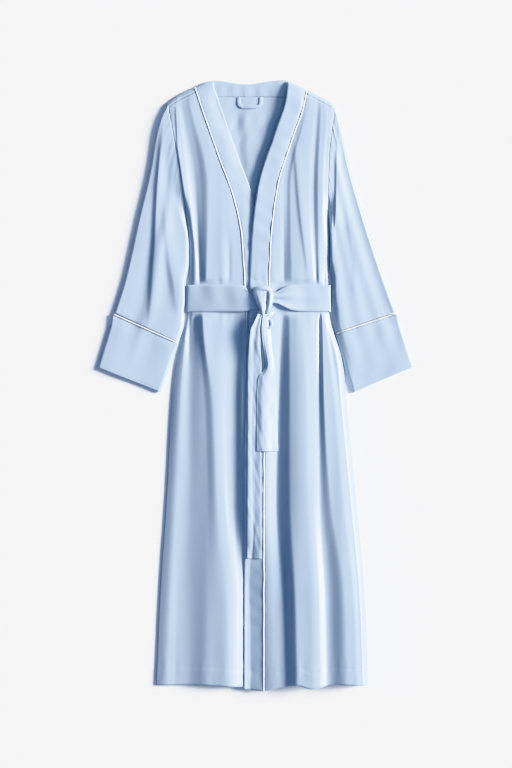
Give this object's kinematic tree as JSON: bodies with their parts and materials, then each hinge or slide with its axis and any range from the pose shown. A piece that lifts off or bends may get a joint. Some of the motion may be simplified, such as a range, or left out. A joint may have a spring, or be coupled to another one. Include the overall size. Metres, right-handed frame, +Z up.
{
  "type": "dressing gown",
  "caption": "Long satin dressing gown with piped front bands and cuffs, laid out flat on its back with its belt tied in front.",
  "frame": {"origin": "on the floor, under the middle of the garment's box", "axes": "+X towards the wearer's left, +Y towards the neck, +Z up from the floor"},
  "size_m": [0.676, 1.2994, 0.034],
  "materials": {
    "satin": "pale blue satin, soft sheen",
    "belt_satin": "pale blue satin, doubled, soft sheen",
    "piping": "white satin piping"
  },
  "bodies": {
    "root": {"back": "satin", "front_left": "satin", "front_right": "satin", "band_left": "satin", "band_right": "satin", "band_neck": "satin", "sleeve_left": "satin", "sleeve_right": "satin", "cuff_left": "satin", "cuff_right": "satin", "hanger_loop": "satin", "belt_waist": "belt_satin", "belt_knot": "belt_satin", "belt_tail_long": "belt_satin", "belt_tail_short": "belt_satin", "piping_front_left": "piping", "piping_front_right": "piping", "piping_cuff_left": "piping", "piping_cuff_right": "piping"}
  },
  "joints": []
}
